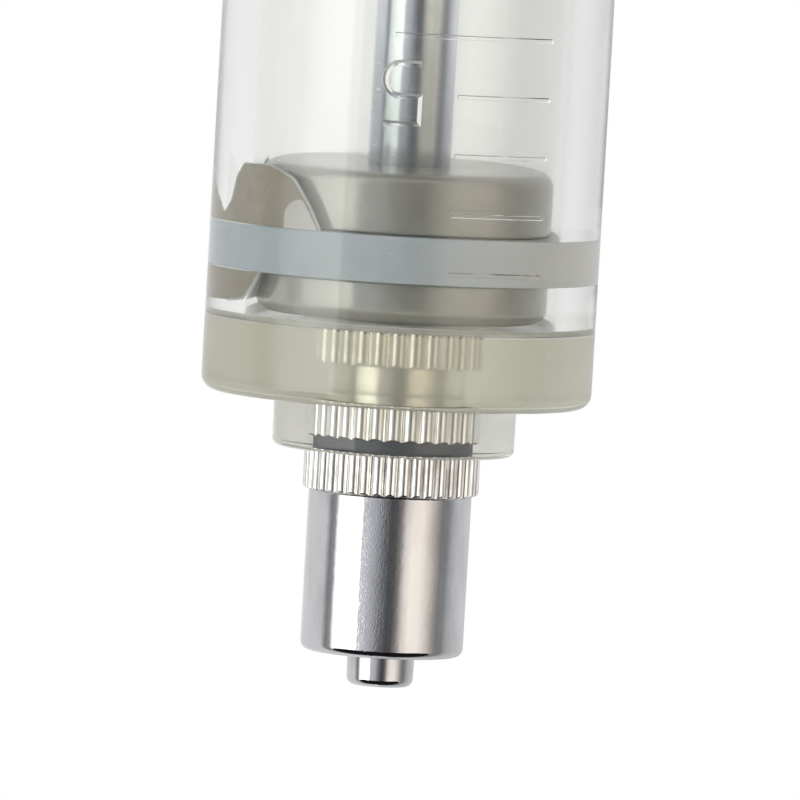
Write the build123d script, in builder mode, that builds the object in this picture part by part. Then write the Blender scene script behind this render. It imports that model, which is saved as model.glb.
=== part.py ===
"""A 20 ml luer-lock syringe with a clear moulded barrel, plated fittings and a ring-handled plunger.

Millimetres. The syringe stands nozzle down: +Z runs from the luer tip towards the thumb ring,
and the origin is the centre of the luer tip's end. The scale faces -Y.
"""

import os
from math import cos, pi, radians, sin

from build123d import *

os.makedirs("parts", exist_ok=True)

# ---------------------------------------------------------------- clearances and joints
running_gap = 0.05  # radial play of whatever slides or turns
assembly_gap = 0.05  # radial play of pieces that are pushed or screwed together
seal_play = 0.04  # end play of the seal in its groove

# ---------------------------------------------------------------- luer nozzle
lumen_radius = 1.0
cone_tip_radius = 2.0
cone_taper = 0.03  # growth of the radius per millimetre, the 6 % luer taper
cone_length = 7.9
cone_end_round = 0.45
cone_flange_radius = 3.1
cone_flange_thickness = 0.8
cone_shank_radius = 2.3
cone_shank_grip = 2.0  # how far the shank goes into the knurled body
tip_projection = 2.0  # the cone stands this far out of the collar

collar_radius = 4.95
collar_bore_radius = 4.0
collar_length = 9.85
collar_edge_round = 0.5

knurl_radius = 5.35
knurl_height = 2.5
knurl_ridges = 40
knurl_depth = 0.35
knurl_end_round = 0.2

stem_radius = 2.2
passage_radius = 1.25
stem_recess = 0.6  # the stem ends this far under the chamber's floor

washer_radius = 3.32
washer_thickness = 0.85

# ---------------------------------------------------------------- bush moulded into the barrel
bush_radius = 3.57
bush_neck_radius = 2.85
bush_lower_band = 2.15
bush_upper_band = 2.2
bush_ridges = 24
bush_depth = 0.3

# ---------------------------------------------------------------- barrel and its scale
capacity_ml = 20
barrel_radius = 11.85
barrel_wall = 2.35
bore_radius = barrel_radius - barrel_wall
end_wall = 4.5
barrel_corner_round = 0.9
floor_round = 0.4
boss_radius = 7.35
boss_height = 3.15
boss_corner_round = 0.4
rim_width = 1.35  # how far the rim stands out of the barrel
rim_radius = barrel_radius + rim_width
rim_thickness = 2.0
rim_round = 0.4
zero_line_gap = 0.25  # from the floor to the scale's zero
bore_spare = 5.0  # bore left above the piston when the syringe is full

mark_height = 0.14  # how far the marks stand out of the barrel
mark_root = 0.25  # how deep a mark's foot reaches into the wall
line_width = 0.28
line_end_angle = 43.0
short_line_start_angle = 13.0
long_line_start_angle = -6.0
lines_per_numeral = 5
numeral_height = 3.9
numeral_width = 2.1
numeral_stroke = 0.42
numeral_pitch = 3.1
numeral_angle = -3.0
numeral_lines_below = 1  # a numeral stands this many lines nearer to the nozzle
numeral_rise = 0.2  # its middle is this much above that line

# ---------------------------------------------------------------- piston and seal
piston_gap = 0.65  # between the piston and the bore, which only the seal touches
piston_radius = bore_radius - piston_gap
piston_rest_gap = 0.5
piston_front_thickness = 2.45
piston_rear_thickness = 3.65
piston_corner_round = 0.8
piston_groove_height = 2.9
seal_depth = 3.3  # from the bore to the hub
piston_hub_radius = bore_radius - seal_depth
seal_edge_round = 0.2
rod_end_cover = 1.2  # solid piston in front of the rod's end

# ---------------------------------------------------------------- finger grip
skirt_cover = 1.2  # the skirt is this much wider than the rim
grip_skirt_radius = rim_radius + skirt_cover
grip_height = 9.0
grip_washer_thickness = 0.8
wing_thickness = 4.6
wing_shoulder = 1.4  # the wings' middle is this much wider than the skirt
wing_hub_radius = grip_skirt_radius + wing_shoulder
wing_end_radius = 6.2
wing_span = 60.0
wing_edge_round = 1.1
scallop_radius = 15.0
scallop_depth = 2.0

# ---------------------------------------------------------------- head cap
gasket_thickness = 1.0
gasket_bore_gap = 0.2
cap_wall = 2.4
cap_plate = 3.6
cap_skirt_gap = 0.3  # between the skirt and the wings
cap_ridges = 60
cap_ridge_depth = 0.4
cap_plain_band = 1.2  # smooth band above and below the ridges
cap_edge_round = 0.8
cap_hub_radius = 6.9
cap_hub_height = 4.2

# ---------------------------------------------------------------- rod guide in the head cap
guide_wall = 1.3
guide_flange_width = 1.4
guide_flange_thickness = 1.0
wiper_section = 1.6
retainer_thickness = 1.0
retainer_rebate = 0.7

# ---------------------------------------------------------------- plunger
rod_radius = 2.5
handle_standoff = 6.0  # from the head cap to the buffer when the plunger is home
buffer_radius = 5.6
buffer_thickness = 2.0
nut_across_flats = 8.0
nut_height = 4.0
socket_radius = 4.6
socket_length = 9.0
socket_plain_band = 0.8
socket_edge_round = 0.4
socket_ridges = 30
socket_ridge_depth = 0.25
shoulder_radius = 3.0
shoulder_length = 3.5
rod_grip = 7.5  # how far the rod goes into the socket
ring_hole_radius = 10.8
ring_width = 5.2
ring_depth = 6.4
ring_neck_radius = 3.6
ring_neck_length = 3.0
spigot_radius = 1.8
spigot_length = 3.0

# ---------------------------------------------------------------- heights along the axis
collar_base = tip_projection
knurl_base = collar_base + collar_length
boss_base = knurl_base + knurl_height
end_face = boss_base + boss_height
floor = end_face + end_wall

piston_length = piston_front_thickness + piston_groove_height + piston_rear_thickness
line_pitch = 1000 / (pi * bore_radius**2)  # one millilitre is 1000 cubic millimetres
zero_line = floor + zero_line_gap
barrel_top = zero_line + capacity_ml * line_pitch + piston_length + bore_spare

piston_base = floor + piston_rest_gap
groove_base = piston_base + piston_front_thickness
groove_top = groove_base + piston_groove_height

rim_base = barrel_top - rim_thickness
grip_top = rim_base - grip_washer_thickness
grip_base = grip_top - grip_height
wing_top = grip_base + wing_thickness

cap_ceiling = barrel_top + gasket_thickness
cap_skirt_base = wing_top + cap_skirt_gap
cap_plate_top = cap_ceiling + cap_plate
cap_top = cap_plate_top + cap_hub_height
retainer_base = cap_top - retainer_thickness
wiper_base = retainer_base - wiper_section

buffer_base = cap_top + handle_standoff
nut_base = buffer_base + buffer_thickness
socket_base = nut_base + nut_height
shoulder_base = socket_base + socket_length
shoulder_top = shoulder_base + shoulder_length
ring_neck_top = shoulder_top + ring_neck_length
ring_centre = ring_neck_top + ring_width / 2 + ring_hole_radius


def level(height):
    """A level sketch plane at a height along the axis."""
    return Plane.XY.offset(height)


def radial_plane(angle):
    """Upright plane through the axis; angle turns from the front (-Y) towards +X."""
    turn = radians(angle)
    return Plane((0, 0, 0), x_dir=(sin(turn), -cos(turn), 0), z_dir=(-cos(turn), -sin(turn), 0))


def ring_of(base, height, outer_radius, inner_radius):
    """A plain upright ring."""
    with BuildPart() as ring:
        with BuildSketch(level(base)):
            Circle(outer_radius)
            Circle(inner_radius, mode=Mode.SUBTRACT)
        extrude(amount=height)
    return ring.part


def ridged_band(base, height, crest_radius, ridges, depth):
    """A disc whose rim carries rounded upright ridges."""
    root_radius = crest_radius - depth
    ridge_radius = min(0.95 * pi * root_radius / ridges, 0.45 * crest_radius)
    with BuildPart() as band:
        with BuildSketch(level(base)):
            Circle(root_radius)
            with PolarLocations(crest_radius - ridge_radius, ridges):
                Circle(ridge_radius)
        extrude(amount=height)
    return band.part


def save(part, name):
    """Name a finished piece and write its STEP file."""
    part.label = name
    export_step(part, f"parts/{name}.step")


# ================================================================ nozzle
# Luer cone: a tapered spout with a flange and a shank that holds the collar to the knurled body.
cone_base_radius = cone_tip_radius + cone_taper * cone_length
cone_flange_top = cone_length + cone_flange_thickness
cone_shank_top = knurl_base + cone_shank_grip
with BuildPart() as luer_cone:
    with BuildSketch(Plane.XZ):
        with BuildLine():
            Polyline(
                (lumen_radius, 0),
                (cone_tip_radius, 0),
                (cone_base_radius, cone_length),
                (cone_flange_radius, cone_length),
                (cone_flange_radius, cone_flange_top),
                (cone_shank_radius, cone_flange_top),
                (cone_shank_radius, cone_shank_top),
                (lumen_radius, cone_shank_top),
                close=True,
            )
        make_face()
    revolve(axis=Axis.Z)
    fillet(edges().group_by(Axis.Z)[0].sort_by(SortBy.LENGTH)[-1], cone_end_round)
save(luer_cone.part, "luer_cone")

# Lock collar: a smooth sleeve round the cone, closed at the top by a web that the flange pulls up.
with BuildPart() as lock_collar:
    with BuildSketch(level(collar_base)):
        Circle(collar_radius)
    extrude(amount=collar_length)
    fillet(edges().group_by(Axis.Z)[0], collar_edge_round)
    with BuildSketch(level(collar_base)):
        Circle(collar_bore_radius)
    extrude(amount=cone_flange_top - collar_base, mode=Mode.SUBTRACT)
    with BuildSketch(level(collar_base)):
        Circle(cone_shank_radius + assembly_gap)
    extrude(amount=collar_length, mode=Mode.SUBTRACT)
save(lock_collar.part, "lock_collar")

# Knurled nozzle body: a ridged disc with a threaded stem that screws up into the bush.
stem_top = floor - stem_recess
with BuildPart() as nozzle_body:
    add(ridged_band(knurl_base, knurl_height, knurl_radius, knurl_ridges, knurl_depth))
    with BuildSketch(Plane.XZ):
        with Locations((0, knurl_base + knurl_height / 2)):
            RectangleRounded(2 * knurl_radius, knurl_height, knurl_end_round)
        Rectangle(knurl_radius, knurl_base + knurl_height, align=(Align.MIN, Align.MIN), mode=Mode.INTERSECT)
    revolve(axis=Axis.Z, mode=Mode.INTERSECT)
    with BuildSketch(level(boss_base)):
        Circle(stem_radius)
    extrude(amount=stem_top - boss_base)
    with BuildSketch(level(knurl_base)):
        Circle(cone_shank_radius + assembly_gap)
    extrude(amount=cone_shank_grip, mode=Mode.SUBTRACT)
    with BuildSketch(level(knurl_base)):
        Circle(passage_radius)
    extrude(amount=stem_top - knurl_base, mode=Mode.SUBTRACT)
save(nozzle_body.part, "nozzle_body")

# Dark washer squeezed between the knurled body and the bush.
nozzle_washer = ring_of(boss_base, washer_thickness, washer_radius, stem_radius + assembly_gap)
save(nozzle_washer, "nozzle_washer")

# ================================================================ barrel
# Bush: two ridged bands with a smooth neck, moulded into the barrel's end.
bush_base = boss_base + washer_thickness
upper_band_base = floor - bush_upper_band
with BuildPart() as bush_blank:
    with BuildSketch(level(bush_base)):
        Circle(bush_neck_radius)
    extrude(amount=floor - bush_base)
    add(ridged_band(bush_base, bush_lower_band, bush_radius, bush_ridges, bush_depth))
    add(ridged_band(upper_band_base, bush_upper_band, bush_radius, bush_ridges, bush_depth))

with BuildPart() as insert_bush:
    add(bush_blank.part)
    with BuildSketch(level(bush_base)):
        Circle(stem_radius + assembly_gap)
    extrude(amount=floor - bush_base, mode=Mode.SUBTRACT)
save(insert_bush.part, "insert_bush")


def scale_lines(numbers, start_angle):
    """Raised lines of the scale, one at each millilitre in numbers."""
    with BuildPart() as lines:
        with BuildSketch(radial_plane(start_angle)):
            heights = [zero_line + number * line_pitch for number in numbers]
            with Locations([(barrel_radius - mark_root, height) for height in heights]):
                Rectangle(mark_root + mark_height, line_width, align=(Align.MIN, Align.CENTER))
        revolve(axis=Axis.Z, revolution_arc=line_end_angle - start_angle)
    return lines.part


def numeral(text, number):
    """Raised digits that read upright with the nozzle up, cut to the barrel's curve."""
    turn = radians(numeral_angle)
    height = zero_line + (number - numeral_lines_below) * line_pitch + numeral_rise
    wall = barrel_radius - mark_root
    face = Plane(
        (wall * sin(turn), -wall * cos(turn), height),
        x_dir=(-cos(turn), -sin(turn), 0),
        z_dir=(sin(turn), -cos(turn), 0),
    )
    half_width = numeral_width / 2
    half_height = numeral_height / 2
    with BuildPart() as digits:
        with BuildSketch(face):
            for place, character in enumerate(text):
                x = (place - (len(text) - 1) / 2) * numeral_pitch
                left = x - half_width
                right = x + half_width
                with BuildLine():
                    if character == "0":
                        straight = half_height - half_width
                        ThreePointArc((left, straight), (x, half_height), (right, straight))
                        Line((right, straight), (right, -straight))
                        ThreePointArc((right, -straight), (x, -half_height), (left, -straight))
                        Line((left, -straight), (left, straight))
                    elif character == "1":
                        Polyline((x, -half_height), (x, half_height), (left, 0.5 * half_height))
                    elif character == "2":
                        shoulder = 0.4 * half_height
                        ThreePointArc((left, shoulder), (x, half_height), (right, shoulder))
                        Polyline((right, shoulder), (left, -half_height), (right, -half_height))
                    else:
                        waist = 0.15 * half_height
                        tail = -0.85 * half_height
                        Polyline((right, half_height), (left, half_height), (left, waist))
                        ThreePointArc((left, waist), (right, (waist + tail) / 2), (left, tail))
                trace(line_width=numeral_stroke)
        extrude(amount=barrel_radius)
        with BuildSketch(level(height)):
            Circle(barrel_radius + mark_height)
            Circle(barrel_radius - mark_root, mode=Mode.SUBTRACT)
        extrude(amount=numeral_height, both=True, mode=Mode.INTERSECT)
    return digits.part


# Barrel: a clear tube with a thick floor, a boss for the nozzle, a rim at the head and its scale.
with BuildPart() as barrel:
    with BuildSketch(level(end_face)):
        Circle(barrel_radius)
    extrude(amount=barrel_top - end_face)
    fillet(edges().group_by(Axis.Z)[0], barrel_corner_round)
    with BuildSketch(level(rim_base)):
        Circle(rim_radius)
    extrude(amount=rim_thickness)
    fillet(edges().group_by(Axis.Z)[-1], rim_round)
    with BuildSketch(level(boss_base)):
        Circle(boss_radius)
    extrude(amount=boss_height)
    fillet(edges().group_by(Axis.Z)[0], boss_corner_round)
    with BuildSketch(level(floor)):
        Circle(bore_radius)
    extrude(amount=barrel_top - floor, mode=Mode.SUBTRACT)
    fillet(edges(Select.LAST).group_by(Axis.Z)[0], floor_round)
    with BuildSketch(level(boss_base)):
        Circle(washer_radius)
    extrude(amount=washer_thickness, mode=Mode.SUBTRACT)
    add(bush_blank.part, mode=Mode.SUBTRACT)
    ticks = range(1, capacity_ml + 1)
    add(scale_lines([n for n in ticks if n % lines_per_numeral], short_line_start_angle))
    add(scale_lines([n for n in ticks if n % lines_per_numeral == 0], long_line_start_angle))
    for number in range(lines_per_numeral, capacity_ml + 1, lines_per_numeral):
        add(numeral(str(number), number))
save(barrel.part, "barrel")

# ================================================================ finger grip
wing_reach = wing_span / 2 - wing_end_radius
scallop_place = (wing_hub_radius + wing_span / 2) / 2
with BuildPart() as finger_grip:
    with BuildSketch(level(grip_base)):
        Circle(wing_hub_radius)
        with Locations((-wing_reach, 0), (wing_reach, 0)):
            Circle(wing_end_radius)
        make_hull()
    extrude(amount=wing_thickness)
    fillet(edges().group_by(Axis.Z)[0] + edges().group_by(Axis.Z)[-1], wing_edge_round)
    with BuildSketch(Plane.XZ):
        scallop_drop = grip_base + scallop_depth - scallop_radius
        with Locations((-scallop_place, scallop_drop), (scallop_place, scallop_drop)):
            Circle(scallop_radius)
    extrude(amount=wing_hub_radius, both=True, mode=Mode.SUBTRACT)
    with BuildSketch(level(grip_base)):
        Circle(grip_skirt_radius)
    extrude(amount=grip_height)
    with BuildSketch(level(grip_base)):
        Circle(barrel_radius + assembly_gap)
    extrude(amount=grip_height, mode=Mode.SUBTRACT)
save(finger_grip.part, "finger_grip")

grip_washer = ring_of(grip_top, grip_washer_thickness, rim_radius, barrel_radius + assembly_gap)
save(grip_washer, "grip_washer")

# ================================================================ head cap and rod guide
cap_bore_radius = grip_skirt_radius + assembly_gap
cap_radius = cap_bore_radius + cap_wall
guide_bore_radius = rod_radius + running_gap
guide_radius = guide_bore_radius + guide_wall
wiper_radius = rod_radius + running_gap + wiper_section
retainer_radius = wiper_radius + retainer_rebate
cap_ridges_base = cap_skirt_base + cap_plain_band
cap_ridges_height = cap_plate_top - cap_skirt_base - 2 * cap_plain_band
with BuildPart() as head_cap:
    with BuildSketch(level(cap_skirt_base)):
        Circle(cap_radius - cap_ridge_depth)
    extrude(amount=cap_plate_top - cap_skirt_base)
    fillet(edges().group_by(Axis.Z)[-1], cap_edge_round)
    add(ridged_band(cap_ridges_base, cap_ridges_height, cap_radius, cap_ridges, cap_ridge_depth))
    with BuildSketch(level(cap_plate_top)):
        Circle(cap_hub_radius)
    extrude(amount=cap_hub_height)
    fillet(edges().group_by(Axis.Z)[-1], cap_edge_round)
    with BuildSketch(level(cap_skirt_base)):
        Circle(cap_bore_radius)
    extrude(amount=cap_ceiling - cap_skirt_base, mode=Mode.SUBTRACT)
    with BuildSketch(level(cap_ceiling)):
        Circle(guide_radius)
    extrude(amount=cap_top - cap_ceiling, mode=Mode.SUBTRACT)
    with BuildSketch(level(wiper_base)):
        Circle(wiper_radius)
    extrude(amount=wiper_section, mode=Mode.SUBTRACT)
    with BuildSketch(level(retainer_base)):
        Circle(retainer_radius)
    extrude(amount=retainer_thickness, mode=Mode.SUBTRACT)
save(head_cap.part, "head_cap")

cap_gasket = ring_of(barrel_top, gasket_thickness, rim_radius, bore_radius + gasket_bore_gap)
save(cap_gasket, "cap_gasket")

# Rod guide: a flanged bush pushed up into the cap from inside.
guide_flange_radius = guide_radius + guide_flange_width
with BuildPart() as rod_guide:
    with BuildSketch(level(cap_ceiling - guide_flange_thickness)):
        Circle(guide_flange_radius)
    extrude(amount=guide_flange_thickness)
    with BuildSketch(level(cap_ceiling)):
        Circle(guide_radius)
    extrude(amount=wiper_base - cap_ceiling)
    with BuildSketch(level(cap_ceiling - guide_flange_thickness)):
        Circle(guide_bore_radius)
    extrude(amount=wiper_base - cap_ceiling + guide_flange_thickness, mode=Mode.SUBTRACT)
save(rod_guide.part, "rod_guide")

with BuildPart() as rod_wiper:
    with BuildSketch(Plane.XZ):
        with Locations((wiper_radius - wiper_section / 2, wiper_base + wiper_section / 2)):
            Circle(wiper_section / 2)
    revolve(axis=Axis.Z)
save(rod_wiper.part, "rod_wiper")

wiper_retainer = ring_of(retainer_base, retainer_thickness, retainer_radius, rod_radius + 4 * running_gap)
save(wiper_retainer, "wiper_retainer")

# ================================================================ piston
rod_end = piston_base + rod_end_cover
with BuildPart() as piston_front:
    with BuildSketch(level(piston_base)):
        Circle(piston_radius)
    extrude(amount=piston_front_thickness)
    fillet(edges().group_by(Axis.Z)[0], piston_corner_round)
    with BuildSketch(level(groove_base)):
        Circle(piston_hub_radius)
    extrude(amount=piston_groove_height)
    with BuildSketch(level(rod_end)):
        Circle(rod_radius + assembly_gap)
    extrude(amount=groove_top - rod_end, mode=Mode.SUBTRACT)
save(piston_front.part, "piston_front")

with BuildPart() as piston_rear:
    with BuildSketch(level(groove_top)):
        Circle(piston_radius)
    extrude(amount=piston_rear_thickness)
    fillet(edges().group_by(Axis.Z)[-1], piston_corner_round)
    with BuildSketch(level(groove_top)):
        Circle(rod_radius + assembly_gap)
    extrude(amount=piston_rear_thickness, mode=Mode.SUBTRACT)
save(piston_rear.part, "piston_rear")

# Seal: an elastic ring, squeezed to a flat-sided section between the hub and the bore.
seal_inner_radius = piston_hub_radius + running_gap
seal_outer_radius = bore_radius - running_gap
seal_width = seal_outer_radius - seal_inner_radius
with BuildPart() as piston_seal:
    with BuildSketch(Plane.XZ):
        with Locations(((seal_inner_radius + seal_outer_radius) / 2, (groove_base + groove_top) / 2)):
            RectangleRounded(seal_width, piston_groove_height - 2 * seal_play, seal_edge_round)
    revolve(axis=Axis.Z)
save(piston_seal.part, "piston_seal")

# ================================================================ plunger
rod_top = socket_base + rod_grip
with BuildPart() as plunger_rod:
    with BuildSketch(level(rod_end)):
        Circle(rod_radius)
    extrude(amount=rod_top - rod_end)
    chamfer(edges().group_by(Axis.Z)[-1], rod_radius / 8)
save(plunger_rod.part, "plunger_rod")

with BuildPart() as buffer_washer:
    add(ring_of(buffer_base, buffer_thickness, buffer_radius, rod_radius + assembly_gap))
    outer_edges = buffer_washer.edges().filter_by(lambda edge: edge.length > 2 * pi * buffer_radius * 0.99)
    fillet(outer_edges, buffer_thickness / 5)
save(buffer_washer.part, "buffer_washer")

with BuildPart() as lock_nut:
    with BuildSketch(level(nut_base)):
        RegularPolygon(nut_across_flats / 2, 6, major_radius=False)
        Circle(rod_radius + assembly_gap, mode=Mode.SUBTRACT)
    extrude(amount=nut_height)
save(lock_nut.part, "lock_nut")

# Socket: a ridged sleeve screwed on the rod, with a shoulder that the ring is brazed to.
socket_ridges_base = socket_base + socket_plain_band
socket_ridges_height = socket_length - 2 * socket_plain_band
with BuildPart() as ring_socket:
    with BuildSketch(level(socket_base)):
        Circle(socket_radius - socket_ridge_depth)
    extrude(amount=socket_length)
    fillet(edges().group_by(Axis.Z)[-1], socket_edge_round)
    add(ridged_band(socket_ridges_base, socket_ridges_height, socket_radius, socket_ridges, socket_ridge_depth))
    with BuildSketch(level(shoulder_base)):
        Circle(shoulder_radius)
    extrude(amount=shoulder_length)
    with BuildSketch(level(socket_base)):
        Circle(rod_radius + assembly_gap)
    extrude(amount=rod_grip, mode=Mode.SUBTRACT)
    with BuildSketch(level(shoulder_top - spigot_length)):
        Circle(spigot_radius)
    extrude(amount=spigot_length, mode=Mode.SUBTRACT)
save(ring_socket.part, "ring_socket")

with BuildPart() as thumb_ring:
    with BuildSketch(level(ring_centre)):
        with Locations((ring_hole_radius + ring_width / 2, 0)):
            Ellipse(ring_width / 2, ring_depth / 2)
    revolve(axis=Axis((0, 0, ring_centre), (0, 1, 0)))
    with BuildSketch(level(shoulder_top)):
        Circle(ring_neck_radius)
    with BuildSketch(level(ring_neck_top + ring_width / 2)):
        Circle(ring_depth / 2)
    loft()
    with BuildSketch(level(shoulder_top - spigot_length)):
        Circle(spigot_radius)
    extrude(amount=spigot_length)
save(thumb_ring.part, "thumb_ring")
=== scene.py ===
"""Finish of a clear-barrelled luer-lock syringe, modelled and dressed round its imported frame.

Shapes are modelled in millimetres in the frame's own axes: +Z runs from the luer tip to the thumb ring,
and the scale faces -Y. Every mesh is brought to metres when it is done.
"""

import logging
import math
from dataclasses import dataclass, field
from enum import Enum

import bmesh
import bpy
from mathutils import Matrix, Vector


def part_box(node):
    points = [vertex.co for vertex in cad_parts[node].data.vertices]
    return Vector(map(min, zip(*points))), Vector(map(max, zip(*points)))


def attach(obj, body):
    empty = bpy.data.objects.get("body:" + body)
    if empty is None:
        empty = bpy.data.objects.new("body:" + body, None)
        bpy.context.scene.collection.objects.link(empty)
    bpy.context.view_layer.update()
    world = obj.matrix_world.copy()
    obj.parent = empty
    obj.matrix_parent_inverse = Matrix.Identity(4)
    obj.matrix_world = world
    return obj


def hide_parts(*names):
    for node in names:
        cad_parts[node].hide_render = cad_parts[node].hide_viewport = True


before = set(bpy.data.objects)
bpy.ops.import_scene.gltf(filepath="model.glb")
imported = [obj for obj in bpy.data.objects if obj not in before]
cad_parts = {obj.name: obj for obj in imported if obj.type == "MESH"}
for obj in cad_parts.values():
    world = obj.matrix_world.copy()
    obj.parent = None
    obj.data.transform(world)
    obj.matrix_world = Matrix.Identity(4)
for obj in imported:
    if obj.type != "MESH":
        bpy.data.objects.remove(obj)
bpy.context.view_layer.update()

MM = 0.001
ORIGIN = Vector((0.0, 0.0, 0.0))
UP = Vector((0.0, 0.0, 1.0))
log = logging.getLogger("syringe")

BMesh = bmesh.types.BMesh
BMVert = bmesh.types.BMVert
BMEdge = bmesh.types.BMEdge
Piece = bpy.types.Object
Socket = bpy.types.NodeSocket
Color = tuple[float, float, float]
Scale = tuple[float, float, float]
Source = Socket | float | Color


# ------------------------------------------------------------------ modelling tools
@dataclass(frozen=True)
class Corner:
    """A corner of a turned outline.

    Args:
        r: Distance from the axis.
        z: Height.
        round: Radius that the corner is rounded to, 0 for a sharp one.
    """

    r: float
    z: float
    round: float = 0.0


def node_span(node: str) -> tuple[float, float, float]:
    """A frame node's lowest height, highest height and largest reach along +X, in millimetres."""
    low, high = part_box(node)
    return low.z / MM, high.z / MM, high.x / MM


def picked(geom: list, kind: type) -> list:
    """What is of one kind, such as verts, in what an operator hands back."""
    return [item for item in geom if isinstance(item, kind)]


def round_off(bm: BMesh, geom: list, radius: float, segments: int, affect: str) -> None:
    """Rounds a mesh's verts or edges in so many facets, as affect says: VERTICES or EDGES."""
    shape = {"offset_type": "OFFSET", "segments": segments, "profile": 0.5, "affect": affect, "material": -1}
    bmesh.ops.bevel(bm, geom=geom, offset=radius, **shape)


def close_up(bm: BMesh) -> None:
    """Merges verts that stand together and turns the faces outwards."""
    bmesh.ops.remove_doubles(bm, verts=bm.verts[:], dist=1e-4)
    bmesh.ops.recalc_face_normals(bm, faces=bm.faces[:])


def wire(bm: BMesh, corners: list[Corner], closed: bool = True) -> None:
    """Draws an outline in the XZ plane and rounds its corners.

    Args:
        bm: The mesh that gets the outline.
        corners: The outline's corners in order.
        closed: Whether the last corner joins the first.
    """
    verts = [bm.verts.new((corner.r, 0.0, corner.z)) for corner in corners]
    pairs = list(zip(verts, verts[1:]))
    if closed:
        pairs.append((verts[-1], verts[0]))
    for start, end in pairs:
        bm.edges.new((start, end))
    for vert, corner in zip(verts, corners):
        if corner.round > 0 and len(vert.link_edges) == 2:
            a, b = (edge.other_vert(vert).co - vert.co for edge in vert.link_edges)
            round_off(bm, [vert], corner.round / math.tan(a.angle(b) / 2), 6, "VERTICES")


def spin_round(bm: BMesh, steps: int, middle: Vector = ORIGIN, axis: Vector = UP) -> None:
    """Turns an outline once about an axis and closes the seam and the poles.

    Args:
        bm: The mesh that holds the outline.
        steps: Facets in the turn.
        middle: A point of the axis.
        axis: The axis's direction.
    """
    geom = bm.verts[:] + bm.edges[:]
    bmesh.ops.spin(bm, geom=geom, cent=middle, axis=axis, angle=2 * math.pi, steps=steps, use_merge=True)
    close_up(bm)


def lathe(corners: list[Corner], steps: int = 128) -> BMesh:
    """Turns an outline on the lathe.

    Args:
        corners: The outline's corners, all the way round its section.
        steps: Facets in a full turn.

    Returns:
        The turned mesh.
    """
    bm = bmesh.new()
    wire(bm, corners)
    spin_round(bm, steps)
    return bm


def plug(radius: float, base: float, top: float, steps: int = 192) -> BMesh:
    """A round plug on the axis, between two heights."""
    return lathe([Corner(0.0, base), Corner(radius, base), Corner(radius, top), Corner(0.0, top)], steps)


def smooth(mesh: bpy.types.Mesh, sharp_angle: float = 32.0) -> None:
    """Shades a mesh smooth, but for edges that turn more than so many degrees."""
    mesh.shade_smooth()
    mesh.set_sharp_from_angle(angle=math.radians(sharp_angle))


def to_object(bm: BMesh, name: str) -> Piece:
    """Makes a finished object, at the origin and in metres, of a mesh drawn in millimetres.

    Args:
        bm: The mesh, which is used up.
        name: The object's name.

    Returns:
        The object.
    """
    bmesh.ops.transform(bm, matrix=Matrix.Scale(MM, 4), verts=bm.verts[:])
    mesh = bpy.data.meshes.new(name)
    bm.to_mesh(mesh)
    bm.free()
    smooth(mesh)
    piece = bpy.data.objects.new(name, mesh)
    bpy.context.scene.collection.objects.link(piece)
    return piece


def turned(name: str, corners: list[Corner], steps: int = 128) -> Piece:
    """Turns an outline and makes an object of it."""
    return to_object(lathe(corners, steps), name)


def bring_to(vert: BMVert, radius: float) -> None:
    """Moves a vert to a distance from the axis."""
    vert.co.xy *= radius / vert.co.xy.length


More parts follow.
